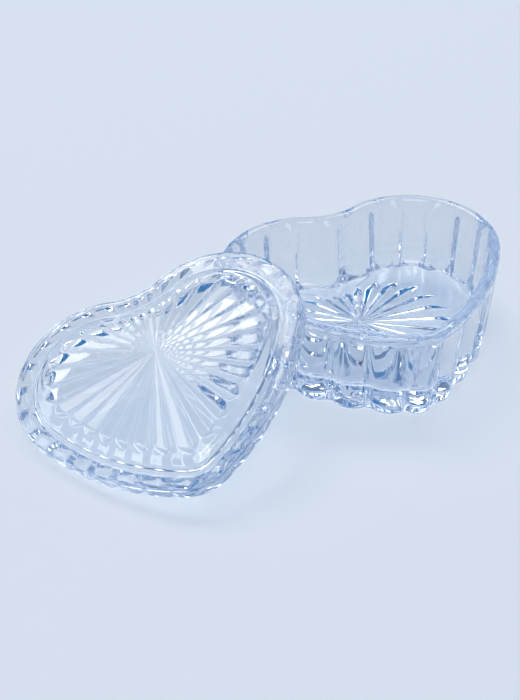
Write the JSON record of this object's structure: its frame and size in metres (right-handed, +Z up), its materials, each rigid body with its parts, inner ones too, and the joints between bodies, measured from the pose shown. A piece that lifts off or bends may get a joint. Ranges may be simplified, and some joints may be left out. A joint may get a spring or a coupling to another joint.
{
  "type": "heart-shaped trinket box",
  "caption": "Heart-shaped clear pressed-glass trinket box with fluted sides and a loose sunburst-cut lid leaning on its rim.",
  "frame": {"origin": "centre of the heart's length and width on the flat underside of the box", "axes": "+Z up, +Y from the heart's tip towards its cleft, +X to the right of both, the lid lies on the -X side"},
  "size_m": [0.1947, 0.1126, 0.0495],
  "materials": {
    "box_glass": "clear pressed glass, fire-polished, with a faint cold blue tint",
    "lid_glass": "clear pressed glass, fire-polished, with a faint cold blue tint"
  },
  "bodies": {
    "base": {"box_base": "box_glass"},
    "lid": {"lid": "lid_glass"}
  },
  "joints": [
    {"name": "lid_lift", "type": "slide", "parent": "base", "child": "lid", "axis": [0, 0, 1], "range_m": [0, 0.06]}
  ]
}
